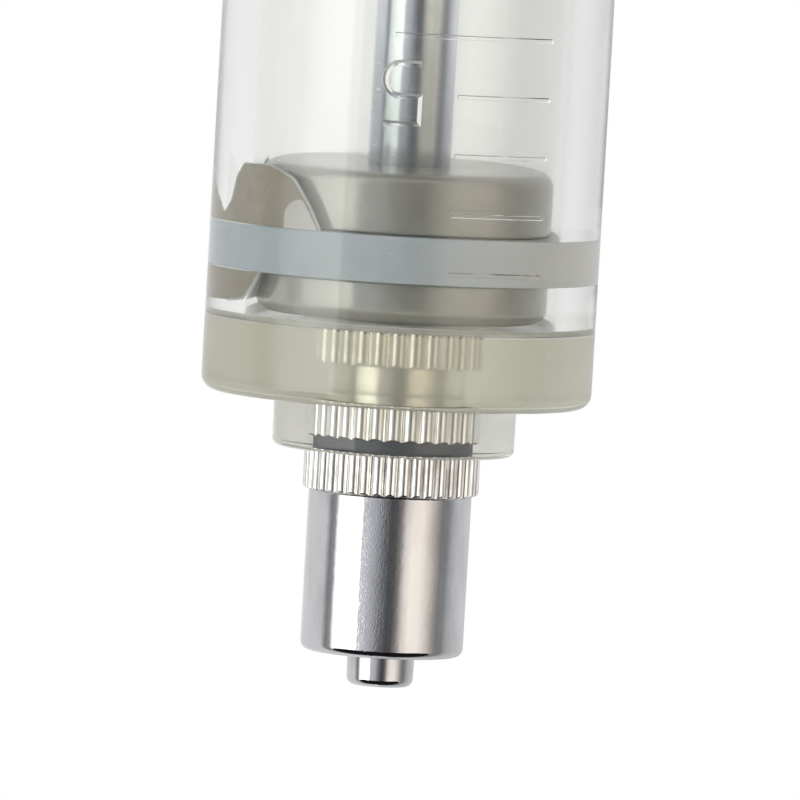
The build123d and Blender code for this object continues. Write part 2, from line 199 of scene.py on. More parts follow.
@dataclass(frozen=True)
class Ridges:
    """Rounded upright ridges round a turned band.

    Args:
        crest: Radius to the ridges' crests.
        depth: Depth of the grooves between them.
        count: Number of ridges.
        base: Height of the band's lower end.
        top: Height of its upper end.
        end_round: Radius that both ends are rounded to.
        bore: Radius of the hole through the band.
        arc_steps: Facets across a ridge.
    """

    crest: float
    depth: float
    count: int
    base: float
    top: float
    end_round: float
    bore: float
    arc_steps: int = 10

    def _outline(self, bm: BMesh) -> None:
        """Draws one ridge's arc and repeats it all round, at the base height.

        Args:
            bm: The mesh that gets the outline.
        """
        half = math.pi / self.count
        root = self.crest - self.depth
        foot_x, foot_y = root * math.cos(half), root * math.sin(half)
        middle = (self.crest**2 - root**2) / (2 * (self.crest - foot_x))
        start = bm.verts.new((foot_x, -foot_y, self.base))
        arc = 2 * math.atan2(foot_y, foot_x - middle)
        centre = (middle, 0.0, self.base)
        bmesh.ops.spin(bm, geom=[start], cent=centre, axis=UP, angle=arc, steps=self.arc_steps)
        ridge = bm.verts[:] + bm.edges[:]
        others = self.count - 1
        turn = 2 * math.pi * others / self.count
        bmesh.ops.spin(bm, geom=ridge, cent=ORIGIN, axis=UP, angle=turn, steps=others, use_duplicate=True)
        bmesh.ops.remove_doubles(bm, verts=bm.verts[:], dist=1e-3)

    def _levels(self) -> list[float]:
        """Spaces the band's loops, close together in its rounded ends.

        Returns:
            Their heights, from the base up.
        """
        turns = [0.0, 0.03, 0.1, 0.22, 0.4, 0.65, 1.0]
        low = [self.base + self.end_round * turn for turn in turns]
        high = [self.top - self.end_round * turn for turn in reversed(turns)]
        return low + high

    def _limit(self, height: float) -> float:
        """Limits the band's radius in its rounded ends.

        Args:
            height: A height in the band.

        Returns:
            The largest radius there.
        """
        depth_in = min(height - self.base, self.top - height)
        if depth_in >= self.end_round:
            return self.crest
        fall = self.end_round - math.sqrt(max(self.end_round**2 - (self.end_round - depth_in) ** 2, 0.0))
        return self.crest - fall

    def build(self) -> BMesh:
        """Makes the band as one closed shell.

        Returns:
            The mesh.
        """
        bm = bmesh.new()
        self._outline(bm)
        rim = bm.edges[:]
        first = bm.verts[:]
        levels = self._levels()
        for low, high in zip(levels, levels[1:]):
            made = bmesh.ops.extrude_edge_only(bm, edges=rim)["geom"]
            rim = [edge for edge in picked(made, BMEdge) if edge.is_boundary]
            bmesh.ops.translate(bm, vec=(0.0, 0.0, high - low), verts=picked(made, BMVert))
        last = list({vert for edge in rim for vert in edge.verts})
        for vert in bm.verts:
            limit = self._limit(vert.co.z)
            if vert.co.xy.length > limit:
                bring_to(vert, limit)
        self._close(bm, first, last)
        return bm

    def _close(self, bm: BMesh, first: list[BMVert], last: list[BMVert]) -> None:
        """Closes both ends and lines the bore between them.

        Args:
            bm: The band's mesh.
            first: The verts of its lower end.
            last: The verts of its upper end.
        """
        loops = []
        for verts, height in ((first, self.base), (last, self.top)):
            rim = [edge for edge in bm.edges if edge.is_boundary and edge.verts[0] in verts]
            made = bmesh.ops.extrude_edge_only(bm, edges=rim)["geom"]
            for vert in picked(made, BMVert):
                bring_to(vert, self.bore)
            rim = [edge for edge in bm.edges if edge.is_boundary]
            loops += [edge for edge in rim if abs(edge.verts[0].co.z - height) < 1e-6]
        bmesh.ops.bridge_loops(bm, edges=list(set(loops)))
        bmesh.ops.recalc_face_normals(bm, faces=bm.faces[:])


def merged(meshes: list[BMesh]) -> BMesh:
    """Puts several closed shells in one mesh.

    Args:
        meshes: The shells, which are used up.

    Returns:
        The mesh.
    """
    whole = bmesh.new()
    for part in meshes:
        passing = bpy.data.meshes.new("passing")
        part.to_mesh(passing)
        part.free()
        whole.from_mesh(passing)
        bpy.data.meshes.remove(passing)
    return whole


def joined(name: str, meshes: list[BMesh]) -> Piece:
    """Makes one object of several closed shells."""
    return to_object(merged(meshes), name)


def tube(outer: float, inner: float, base: float, top: float, edge: float = 0.1) -> list[Corner]:
    """Section of a ring: its two radii, its two heights and the radius of its corners."""
    places = ((inner, base), (outer, base), (outer, top), (inner, top))
    return [Corner(radius, height, edge) for radius, height in places]


def stroke(corners: list[Corner], radius: float) -> BMesh:
    """Draws a round-backed stroke along an open or closed path in the XZ plane.

    Args:
        corners: The path's corners; it closes where the last stands on the first.
        radius: The stroke's radius.

    Returns:
        The stroke's mesh.
    """
    closed = corners[0] == corners[-1]
    path = bmesh.new()
    wire(path, corners[:-1] if closed else corners, closed)
    ends = [vert for vert in path.verts if len(vert.link_edges) == 1]
    vert = ends[0] if ends else next(iter(path.verts))
    edge = vert.link_edges[0]
    points = [vert.co.copy()]
    while len(points) < len(path.verts):
        vert = edge.other_vert(vert)
        points.append(vert.co.copy())
        edge = next((other for other in vert.link_edges if other is not edge), edge)
    path.free()
    curve = bpy.data.curves.new("stroke", "CURVE")
    curve.dimensions = "3D"
    curve.bevel_depth = radius
    curve.bevel_resolution = 2
    curve.use_fill_caps = True
    spline = curve.splines.new("POLY")
    spline.points.add(len(points) - 1)
    spline.use_cyclic_u = closed
    for point, place in zip(spline.points, points):
        point.co = (*place, 1.0)
    drawn = bpy.data.objects.new("stroke", curve)
    bm = bmesh.new()
    bm.from_mesh(drawn.to_mesh())
    drawn.to_mesh_clear()
    bpy.data.objects.remove(drawn)
    bpy.data.curves.remove(curve)
    close_up(bm)
    return bm


def prism(radius: float, depth: float, sides: int, where: Matrix) -> BMesh:
    """Makes an upright prism and places it.

    Args:
        radius: Distance from its axis to its corners.
        depth: Its height.
        sides: Its number of sides.
        where: Turns and moves it from the origin.

    Returns:
        The prism's mesh.
    """
    bm = bmesh.new()
    size = {"radius1": radius, "radius2": radius, "depth": depth}
    bmesh.ops.create_cone(bm, cap_ends=True, segments=sides, matrix=where, **size)
    return bm


def wrap(bm: BMesh, radius: float, angle: float = 0.0, height: float = 0.0) -> None:
    """Bends a mesh drawn in the XZ plane round the axis.

    Args:
        bm: The mesh; its +Y side becomes the inner one.
        radius: Radius that its own plane comes to.
        angle: Where its middle comes, in degrees from the front towards +X.
        height: Where its middle comes along the axis.
    """
    for vert in bm.verts:
        turn = math.radians(angle) + vert.co.x / radius
        reach = radius - vert.co.y
        vert.co = Vector((reach * math.sin(turn), -reach * math.cos(turn), vert.co.z + height))


def carve(piece: Piece, tool: BMesh, operation: str) -> None:
    """Joins a solid to a piece, cuts it out or keeps what both share, and uses the solid up.

    Args:
        piece: The piece that is changed.
        tool: The solid.
        operation: UNION, DIFFERENCE or INTERSECT.
    """
    solid = to_object(tool, "tool")
    modifier = piece.modifiers.new("carve", "BOOLEAN")
    modifier.operation = operation
    modifier.solver = "EXACT"
    modifier.object = solid
    bpy.context.view_layer.update()
    shaped = bpy.data.meshes.new_from_object(piece.evaluated_get(bpy.context.evaluated_depsgraph_get()))
    piece.modifiers.clear()
    rough = piece.data
    piece.data = shaped
    bpy.data.meshes.remove(rough)
    bpy.data.meshes.remove(solid.data)


def soften(piece: Piece, sharp_angle: float = 32.0) -> None:
    """Shades a piece smooth but for its sharp edges, and keeps its flats flat.

    Args:
        piece: The piece.
        sharp_angle: Edges that turn more than this many degrees stay sharp.
    """
    smooth(piece.data, sharp_angle)
    weighted = piece.modifiers.new("flats", "WEIGHTED_NORMAL")
    weighted.keep_sharp = True


# ------------------------------------------------------------------ finishes
class Wiring:
    """Short calls for the nodes of a material or a world."""

    def __init__(self, tree: bpy.types.NodeTree) -> None:
        """Starts with an empty tree."""
        tree.nodes.clear()
        self.tree = tree

    def feed(self, socket: Socket, source: Source) -> None:
        """Joins an input to an output, or sets it to a value.

        Args:
            socket: The input.
            source: An output, a number, three numbers or a colour.
        """
        if isinstance(source, Socket):
            self.tree.links.new(source, socket)
        else:
            socket.default_value = (*source, 1.0) if socket.type == "RGBA" else source

    def add(self, kind: str, **inputs: Source) -> bpy.types.Node:
        """Adds a node.

        Args:
            kind: Its type, without ShaderNode.
            inputs: What its inputs get, by name, with _ for the spaces.

        Returns:
            The node.
        """
        node = self.tree.nodes.new(f"ShaderNode{kind}")
        for name, source in inputs.items():
            self.feed(node.inputs[name.replace("_", " ")], source)
        return node

    def combine(self, kind: str, operation: str | None, *sources: Source) -> Socket:
        """Adds a node whose first inputs are fed in order.

        Args:
            kind: Its type, without ShaderNode.
            operation: What it does, where its type has a choice.
            sources: What its inputs get.

        Returns:
            Its output.
        """
        node = self.add(kind)
        if operation is not None:
            node.operation = operation
        for socket, source in zip(node.inputs, sources):
            self.feed(socket, source)
        return node.outputs[0]

    def math(self, operation: str, first: Source, second: Source = 0.0) -> Socket:
        """Combines two values, each an output or a number."""
        return self.combine("Math", operation, first, second)

    def rise(self, value: Socket, start: float, end: float) -> Socket:
        """0 on one side of a start, and 1 from an end on."""
        share = self.math("DIVIDE", self.math("SUBTRACT", value, start), end - start)
        return self.math("MINIMUM", self.math("MAXIMUM", share, 0.0), 1.0)

    def ramp(self, source: Socket, stops: list[tuple[float, Color]]) -> Socket:
        """Colours a value.

        Args:
            source: The value, from 0 to 1.
            stops: Places and the colours there, two or more.

        Returns:
            The colour.
        """
        node = self.add("ValToRGB", Fac=source)
        elements = node.color_ramp.elements
        while len(elements) < len(stops):
            elements.new(0.5)
        for element, (place, color) in zip(elements, stops):
            element.position = place
            element.color = (*color, 1.0)
        return node.outputs["Color"]


class Nodes(Wiring):
    """A material's nodes round one Principled shader."""

    def __init__(self, name: str) -> None:
        """Starts a material with its shader and Object coordinates.

        Args:
            name: The material's name.
        """
        self.material = bpy.data.materials.new(name)
        self.material.use_nodes = True
        super().__init__(self.material.node_tree)
        self.shader = self.add("BsdfPrincipled")
        self.output = self.add("OutputMaterial", Surface=self.shader.outputs["BSDF"])
        self.place = self.add("TexCoord").outputs["Object"]

    def set(self, **inputs: Source) -> None:
        """Gives the shader's inputs a constant or an output, by name, with _ for the spaces."""
        for name, source in inputs.items():
            self.feed(self.shader.inputs[name.replace("_", " ")], source)

    def mapped(self, scale: Scale) -> Socket:
        """Object coordinates stretched by a scale."""
        return self.add("Mapping", Vector=self.place, Scale=scale).outputs["Vector"]

    def noise(self, scale: Scale, detail: float = 3.0) -> Socket:
        """Noise whose grain follows a scale in each direction."""
        return self.add("TexNoise", Vector=self.mapped(scale), Scale=1.0, Detail=detail).outputs["Fac"]

    def along(self, axis: str) -> Socket:
        """The place along an axis, in metres."""
        return self.add("SeparateXYZ", Vector=self.mapped((1.0, 1.0, 1.0))).outputs[axis]

    def strip(self, middle: float, half: float) -> Socket:
        """1 on an upright strip of front and back, 0 from half a width off its middle across X."""
        away = self.math("ABSOLUTE", self.math("SUBTRACT", self.along("X"), middle))
        return self.rise(away, half, 0.6 * half)

    def blend(self, share: Socket, color: Socket, other: Color) -> Socket:
        """Turns a colour into another.

        Args:
            share: How far, from 0 to 1.
            color: The colour.
            other: What it turns to.

        Returns:
            The mixed colour.
        """
        node = self.add("Mix")
        node.data_type = "RGBA"
        for index, source in ((0, share), (6, color), (7, other)):
            self.feed(node.inputs[index], source)
        return node.outputs[2]

    def bump(self, source: Socket, height: float) -> None:
        """Bumps the surface over any bump that it has.

        Args:
            source: The pattern, from 0 to 1.
            height: Its height, in metres.
        """
        node = self.add("Bump", Strength=1.0, Distance=height, Height=source)
        normal = self.shader.inputs["Normal"]
        if normal.links:
            self.feed(node.inputs["Normal"], normal.links[0].from_socket)
        self.feed(normal, node.outputs["Normal"])

    def absorb(self, color: Color, density: float) -> None:
        """Fills the piece with a plain absorbing volume."""
        node = self.add("VolumeAbsorption", Color=color, Density=density)
        self.feed(self.output.inputs["Volume"], node.outputs["Volume"])


def grey(value: float) -> Color:
    """A neutral colour."""
    return (value, value, value)


def even(value: float) -> Scale:
    """The same scale in each direction."""
    return (value, value, value)


@dataclass(frozen=True)
class Plating:
    """Bright plated metal with faint haze, pitting and fine turning marks round the axis.

    Args:
        color: Colour of the metal's reflection.
        dull: Colour where the plating is hazed.
        roughness: Roughness where it is brightest.
        haze: Roughness added in hazed patches.
        patch: Stretch of the hazed patches in each direction, per metre.
        pits: Height of the fine pitting, in metres.
        pit_grain: Fineness of the pitting, per metre.
        turning: Height of the turning marks, in metres.
        scuff: Middle and half width across X of a strip with deeper pits, in metres.
        metal: Share of the surface that is bare metal, the rest being film and dust.
        film: Heights where a film of grease begins and where it is full, in metres.
        film_cover: Share of the metal that the full film hides.
        scuff_depth: Depth of the scuff's pits, in metres.
    """

    color: Color
    dull: Color
    roughness: float
    haze: float
    patch: Scale
    pits: float
    pit_grain: float = 2600.0
    turning: float = 0.0
    scuff: tuple[float, float] | None = None
    metal: float = 1.0
    film: tuple[float, float] | None = None
    film_cover: float = 0.25
    scuff_depth: float = 1.3e-5

    def material(self, name: str) -> bpy.types.Material:
        """Builds the finish.

        Args:
            name: The material's name.

        Returns:
            The material.
        """
        nodes = Nodes(name)
        patches = nodes.noise(self.patch, detail=6.0)
        color = nodes.ramp(patches, [(0.42, self.color), (0.68, self.dull)])
        rough = nodes.ramp(patches, [(0.4, grey(self.roughness)), (0.7, grey(self.roughness + self.haze))])
        nodes.set(Metallic=self.metal, Base_Color=color, Roughness=rough)
        if self.film is not None:
            filmed = nodes.rise(nodes.along("Z"), *self.film)
            bare = nodes.math("SUBTRACT", self.metal, nodes.math("MULTIPLY", filmed, self.film_cover))
            nodes.set(Metallic=bare, Base_Color=nodes.blend(filmed, color, self.dull))
        nodes.bump(nodes.noise(even(self.pit_grain), detail=5.0), self.pits)
        if self.turning > 0:
            nodes.bump(nodes.noise((60.0, 60.0, 5200.0), detail=2.0), self.turning)
        if self.scuff is not None:
            marks = nodes.noise((11000.0, 11000.0, 7000.0), detail=3.0)
            nodes.bump(nodes.math("MULTIPLY", marks, nodes.strip(*self.scuff)), self.scuff_depth)
        return nodes.material


@dataclass(frozen=True)
class ClearPlastic:
    """Clear moulded plastic, milky where it is thick.

    Args:
        clarity: Share of the surface that lets light through.
        body: Colour of the plastic.
        shade: Second colour, in wide soft patches.
        roughness: Surface roughness.
        haze: Roughness added in rubbed or greasy patches.
        patch: Stretch of those patches in each direction, per metre.
        tint: Colour that light keeps on its way through.
        density: Absorption per metre.
        ripple: Height of the moulded surface's waviness, in metres.
        ior: Refractive index.
        gloss: Specular level, 0.5 for the index's own.
        flecks: Middle and half width across X of a strip with small pale scratches, in metres.
    """

    clarity: float
    body: Color
    shade: Color
    roughness: float
    haze: float
    patch: Scale
    tint: Color = (0.93, 0.94, 0.91)
    density: float = 8.0
    ripple: float = 1.5e-6
    ior: float = 1.46
    gloss: float = 0.7
    flecks: tuple[float, float] | None = None

    def material(self, name: str) -> bpy.types.Material:
        """Builds the finish.

        Args:
            name: The material's name.

        Returns:
            The material.
        """
        nodes = Nodes(name)
        patches = nodes.noise(self.patch, detail=4.0)
        color = nodes.ramp(patches, [(0.35, self.body), (0.7, self.shade)])
        rough = nodes.ramp(patches, [(0.45, grey(self.roughness)), (0.7, grey(self.roughness + self.haze))])
        nodes.set(Base_Color=color, Roughness=rough, IOR=self.ior, Specular_IOR_Level=self.gloss)
        nodes.set(Transmission_Weight=self.clarity)
        nodes.bump(nodes.noise((260.0, 260.0, 40.0)), self.ripple)
        if self.flecks is not None:
            scratches = nodes.rise(nodes.noise((1700.0, 1700.0, 4600.0), detail=1.0), 0.7, 0.75)
            marks = nodes.math("MULTIPLY", nodes.math("MULTIPLY", scratches, 0.5), nodes.strip(*self.flecks))
            nodes.set(Transmission_Weight=nodes.math("SUBTRACT", self.clarity, marks))
        nodes.absorb(self.tint, self.density)
        return nodes.material


@dataclass(frozen=True)
class Moulded:
    """Opaque or waxy moulded plastic or rubber, with flecks of grease or dust.

    Args:
        color: Main colour.
        shade: Second colour, in soft patches.
        fleck: Colour of the flecks.
        roughness: Surface roughness.
        grain: Pattern size, per metre.
        relief: Height of the fine grain, in metres.
        wax: Subsurface weight.
        gloss: Specular level, 0.5 for a plain plastic.
        ior: Refractive index.
        painted_side_light: Painted light on the lit side: colour that it turns to across X, and the places
            where that begins and ends, in metres.
    """

    color: Color
    shade: Color
    fleck: Color
    roughness: float
    grain: float
    relief: float
    wax: float = 0.0
    gloss: float = 0.5
    ior: float = 1.5
    painted_side_light: tuple[Color, float, float] | None = None

    def material(self, name: str) -> bpy.types.Material:
        """Builds the finish.

        Args:
            name: The material's name.

        Returns:
            The material.
        """
        nodes = Nodes(name)
        base = nodes.noise(even(self.grain), detail=5.0)
        flecks = nodes.noise(even(9.0 * self.grain), detail=2.0)
        mixed = nodes.math("ADD", nodes.math("MULTIPLY", base, 0.6), nodes.math("MULTIPLY", flecks, 0.4))
        stops = [(0.38, self.color), (0.56, self.shade), (0.66, self.shade), (0.74, self.fleck)]
        color = nodes.ramp(mixed, stops)
        # Painted light: the colour turns paler across X, as if that side were lit more.
        if self.painted_side_light is not None:
            other, start, end = self.painted_side_light
            color = nodes.blend(nodes.rise(nodes.along("X"), start, end), color, other)
        rough = nodes.ramp(base, [(0.3, grey(self.roughness)), (0.7, grey(min(self.roughness + 0.15, 1.0)))])
        nodes.set(Base_Color=color, Roughness=rough, IOR=self.ior, Specular_IOR_Level=self.gloss)
        nodes.set(Subsurface_Weight=self.wax, Subsurface_Scale=0.002)
        nodes.bump(flecks, self.relief)
        return nodes.material


class Finish(Enum):
    """Finishes of the syringe's pieces."""

    BARREL = ClearPlastic(
        1.0, (1.0, 1.0, 0.99), (0.96, 0.97, 0.96), 0.0, 0.03, (60.0, 60.0, 30.0), flecks=(-0.0017, 0.0016)
    )
    BORE = ClearPlastic(1.0, (1.0, 1.0, 0.99), (0.95, 0.95, 0.93), 0.05, 0.1, (160.0, 160.0, 60.0))
    BLOCK = ClearPlastic(0.68, (0.71, 0.7, 0.575), (0.65, 0.64, 0.505), 0.1, 0.08, (70.0, 70.0, 90.0))
    FLOOR = ClearPlastic(0.35, (1.0, 1.0, 0.97), (0.97, 0.97, 0.93), 0.08, 0.08, even(120.0), ripple=4e-6)
    BOSS = ClearPlastic(0.88, (0.85, 0.85, 0.8), (0.77, 0.77, 0.71), 0.0, 0.06, even(200.0))
    CHROME = Plating(
        (0.62, 0.625, 0.64), (0.52, 0.52, 0.54), 0.045, 0.06, (700.0, 700.0, 260.0), 5e-6,
        turning=1.5e-6, scuff=(-0.0005, 0.00095),
    )
    TIP = Plating((0.62, 0.625, 0.64), (0.5, 0.5, 0.52), 0.06, 0.05, (900.0, 900.0, 400.0), 5e-7, 3000.0)
    KNURL = Plating((0.93, 0.92, 0.9), (0.72, 0.7, 0.67), 0.1, 0.12, (1200.0, 1200.0, 700.0), 6e-6, 3200.0)
    BUSH = Plating((1.0, 0.995, 0.97), (0.94, 0.925, 0.88), 0.15, 0.1, even(900.0), 5e-6, 1500.0, 2e-6)
    ROD = Plating(
        (0.8, 0.83, 0.88), (0.6, 0.63, 0.68), 0.11, 0.13, (330.0, 330.0, 90.0), 6e-6, 1300.0,
        metal=0.9, film=(0.0395, 0.034),
    )
    HANDLE = Plating((0.64, 0.645, 0.66), (0.54, 0.54, 0.56), 0.05, 0.09, even(160.0), 3e-6, 1800.0)
    PISTON = Moulded(
        (0.55, 0.545, 0.52), (0.5, 0.49, 0.455), (0.62, 0.615, 0.585), 0.1, 110.0, 1e-6, 0.1,
        gloss=1.0, ior=1.85,
    )
    SEAL = Moulded(
        (0.6, 0.67, 0.7), (0.56, 0.625, 0.65), (0.7, 0.75, 0.77), 0.35, 90.0, 1e-6, 0.2,
        # Painted light: paler and warmer towards +X, standing for the light on the seal's right side.
        painted_side_light=((0.9, 0.89, 0.85), 0.0005, 0.0095),
    )
    GREASE = Moulded((0.45, 0.41, 0.335), (0.4, 0.365, 0.285), (0.55, 0.51, 0.43), 0.25, 160.0, 5e-7, 0.1)
    # Thin grease coloured pale: partly a painted reflection, standing for the left light's reflection on the
    # grease.
    THIN_GREASE = Moulded((0.75, 0.725, 0.665), (0.69, 0.665, 0.6), (0.82, 0.8, 0.745), 0.2, 160.0, 5e-7, 0.1)
    # Painted highlight: the grease's edge bead is coloured pale for the bright line of light along its
    # meniscus.
    MENISCUS = Moulded((0.82, 0.81, 0.76), (0.72, 0.71, 0.65), (0.9, 0.89, 0.85), 0.15, 300.0, 1e-6, 0.3)
    WASHER = Moulded((0.025, 0.055, 0.135), (0.018, 0.038, 0.09), (0.09, 0.12, 0.18), 0.3, 260.0, 2e-6)
    GUIDE = Moulded((0.78, 0.77, 0.71), (0.72, 0.71, 0.66), (0.82, 0.81, 0.77), 0.4, 200.0, 3e-6, 0.2)
    GASKET = Moulded((0.5, 0.49, 0.45), (0.43, 0.42, 0.39), (0.56, 0.55, 0.52), 0.5, 260.0, 4e-6, 0.1)
    RUBBER = Moulded((0.018, 0.018, 0.02), (0.028, 0.028, 0.03), (0.06, 0.06, 0.062), 0.55, 500.0, 1e-5)

    def material(self) -> bpy.types.Material:
        """The finish's material, made once."""
        name = self.name.lower()
        return bpy.data.materials.get(name) or self.value.material(name)


@dataclass
class Assembly:
    """A group of pieces that share a class."""

    pieces: list[Piece] = field(default_factory=list, init=False)

    def dress(self, piece: Piece, finish: Finish, slot: str, body: str, *nodes: str) -> None:
        """Finishes a piece and ties it to the frame.

        Args:
            piece: The modelled object.
            finish: Its finish, unless it has its own already.
            slot: Not used.
            body: The body it moves with.
            nodes: The frame's nodes that it stands for.
        """
        if not piece.data.materials:
            piece.data.materials.append(finish.material())
        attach(piece, body)
        if nodes:
            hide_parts(*nodes)
        self.pieces.append(piece)
        log.info("%s: %d faces, on %s", piece.name, len(piece.data.polygons), body)


# ------------------------------------------------------------------ barrel
class Digit(Enum):
    """Strokes of the scale's digits, in half widths and half heights, with each bend's share of roundness."""

    ZERO = ((-1, 0, 0), (-1, 1, 1), (1, 1, 1), (1, -1, 1), (-1, -1, 1), (-1, 0, 0))
    ONE = ((-1, 0.5, 0), (0, 1, 0), (0, -1, 0))
    TWO = ((-1, 0.5, 0), (-1, 1, 1), (1, 1, 1), (1, 0.25, 0.3), (-1, -1, 0), (1, -1, 0))
    FIVE = ((1, 1, 0), (-1, 1, 0), (-1, 0.15, 0), (1, 0.15, 0.9), (1, -0.85, 0.9), (-1, -0.85, 0))


@dataclass
class Barrel(Assembly):
    """Clear tube, its solid end block and boss, and the raised scale."""

    radius: float = 11.85
    bore: float = 9.5
    corner: float = 0.9
    floor_corner: float = 0.4
    boss_radius: float = 7.35
    boss_height: float = 3.15
    rim_height: float = 2.0
    bite: float = 0.02
    mark_height: float = 0.14
    line_half: float = 0.14
    line_taper: float = 0.4
    line_start: float = 13.0
    long_line_start: float = -6.0
    long_line_every: int = 5
    line_end: float = 43.0
    zero_gap: float = 0.25
    capacity: int = 20
    facets: int = 360
    digit_half_width: float = 1.05
    digit_half_height: float = 1.95
    digit_pitch: float = 3.1
    digit_angle: float = -3.0
    digit_rise: float = 0.2
    stroke_radius: float = 0.22

    def __post_init__(self) -> None:
        """Takes the heights from the frame."""
        self.base, self.top, self.rim = node_span("barrel")
        self.bush_base, self.floor, self.bush_radius = node_span("insert_bush")
        self.washer_radius = node_span("nozzle_washer")[2]
        self.end_face = self.base + self.boss_height
        self.pitch = 1000.0 / (math.pi * self.bore**2)
        self.zero = self.floor + self.zero_gap

    def line_height(self, step: int) -> float:
        """Height of one line of the scale."""
        return self.zero + self.pitch * step

    def _outline(self) -> list[Corner]:
        """Draws the barrel's section, with a pocket that the bush and washer bite into.

        Returns:
            The corners.
        """
        bush = Bush()
        pocket = self.bush_radius - bush.depth - self.bite
        neck = bush.neck_radius - self.bite
        rim_base = self.top - self.rim_height
        lines = [self.line_height(step) for step in range(self.capacity, 0, -1)]
        edges = (self.line_half, -self.line_half)
        side = [Corner(self.radius, line + edge) for line in lines for edge in edges]
        return [
            Corner(pocket, self.floor),
            Corner(self.bore, self.floor, self.floor_corner),
            Corner(self.bore, self.top),
            Corner(self.rim, self.top, 0.4),
            Corner(self.rim, rim_base, 0.2),
            Corner(self.radius, rim_base),
            *side,
            Corner(self.radius, self.floor),
            Corner(self.radius, self.end_face, self.corner),
            Corner(self.boss_radius, self.end_face, 0.15),
            Corner(self.boss_radius, self.base, 0.4),
            Corner(self.washer_radius - self.bite, self.base),
            Corner(self.washer_radius - self.bite, self.bush_base),
            Corner(pocket, self.bush_base),
            Corner(pocket, self.bush_base + bush.lower_band),
            Corner(neck, self.bush_base + bush.lower_band),
            Corner(neck, self.floor - bush.upper_band),
            Corner(pocket, self.floor - bush.upper_band),
        ]

    def build(self) -> None:
        """Models the barrel, raises its scale and gives each region its plastic."""
        bm = lathe(self._outline(), self.facets)
        self._raise_lines(bm)
        for face in bm.faces:
            face.material_index = self._region(face.calc_center_median())
        piece = to_object(bm, "barrel_plastic")
        for finish in (Finish.BARREL, Finish.BORE, Finish.BLOCK, Finish.BOSS, Finish.FLOOR):
            piece.data.materials.append(finish.material())
        carve(piece, self._numerals(), "UNION")
        smooth(piece.data)
        self.dress(piece, Finish.BARREL, "clear_plastic", "barrel", "barrel")

    def _region(self, place: Vector) -> int:
        """Finds which plastic a spot of the surface has.

        Args:
            place: The spot.

        Returns:
            0 for the clear wall, 1 the hazed bore, 2 the milky block, 3 the boss and 4 the floor.
        """
        near = 0.01
        radius = place.xy.length
        if radius < self.bore + near and place.z > self.floor + 0.9 * self.floor_corner:
            return 1
        if radius > self.bore and place.z > self.floor:
            return 0
        if place.z > self.floor - near:
            return 4
        return 2 if place.z > self.end_face - near and radius > self.boss_radius - near else 3

    def _raise_lines(self, bm: BMesh) -> None:
        """Raises the scale's lines out of the wall, narrower at their backs.

        Args:
            bm: The turned barrel.
        """
        for step in range(1, self.capacity + 1):
            height = self.line_height(step)
            start = self.long_line_start if step % self.long_line_every == 0 else self.line_start
            faces = [face for face in bm.faces if self._on_line(face.calc_center_median(), height, start)]
            made = bmesh.ops.extrude_face_region(bm, geom=faces)["geom"]
            bmesh.ops.delete(bm, geom=faces, context="FACES_ONLY")
            for vert in picked(made, BMVert):
                vert.co.xy *= 1.0 + self.mark_height / self.radius
                vert.co.z += self.line_taper * (height - vert.co.z)

    def _on_line(self, place: Vector, height: float, start: float) -> bool:
        """Whether a spot of the wall is on a line.

        Args:
            place: The spot.
            height: The line's height.
            start: Where the line begins, in degrees from the front towards +X.

        Returns:
            Whether it is.
        """
        if abs(place.z - height) >= self.line_half or abs(place.xy.length - self.radius) >= 0.05:
            return False
        return start < math.degrees(math.atan2(place.x, -place.y)) < self.line_end

    def _digit(self, shape: Digit, place: float, height: float) -> BMesh:
        """Draws one digit on the wall.

        Args:
            shape: The digit.
            place: Its middle, to the right of the numeral's middle as it is read.
            height: The numeral's middle height.

        Returns:
            The digit's mesh. It reads upright with the nozzle up.
        """
        roundest = 0.5 * self.digit_half_height if shape is Digit.FIVE else self.digit_half_width
        corners = [
            Corner(-(place + u * self.digit_half_width), -v * self.digit_half_height, share * roundest)
            for u, v, share in shape.value
        ]
        bm = stroke(corners, self.stroke_radius)
        wrap(bm, self.radius + self.mark_height - self.stroke_radius, self.digit_angle, height)
        return bm

    def _numerals(self) -> BMesh:
        """Draws 5, 10, 15 and 20, each one line nearer to the nozzle than its own line.

        Returns:
            The digits' mesh.
        """
        words = {
            5: (Digit.FIVE,),
            10: (Digit.ONE, Digit.ZERO),
            15: (Digit.ONE, Digit.FIVE),
            20: (Digit.TWO, Digit.ZERO),
        }
        parts = []
        for number, digits in words.items():
            height = self.line_height(number - 1) + self.digit_rise
            for index, shape in enumerate(digits):
                place = (index - (len(digits) - 1) / 2) * self.digit_pitch
                parts.append(self._digit(shape, place, height))
        return merged(parts)


@dataclass
class Bush(Assembly):
    """Ridged bush moulded into the end block."""

    depth: float = 0.3
    neck_radius: float = 2.85
    lower_band: float = 2.15
    upper_band: float = 2.2
    bore: float = 2.25
    ridges: int = 24
    ridge_end: float = 0.18

    def build(self) -> None:
        """Models the two bands and the neck between them."""
        base, top, crest = node_span("insert_bush")
        neck_low = base + self.lower_band
        neck_high = top - self.upper_band
        parts = [lathe(tube(self.neck_radius, self.bore, neck_low, neck_high, 0.02), 96)]
        for low, high in ((base, neck_low), (neck_high, top)):
            parts.append(Ridges(crest, self.depth, self.ridges, low, high, self.ridge_end, self.bore).build())
        self.dress(joined("bush", parts), Finish.BUSH, "bush_plate", "barrel", "insert_bush")


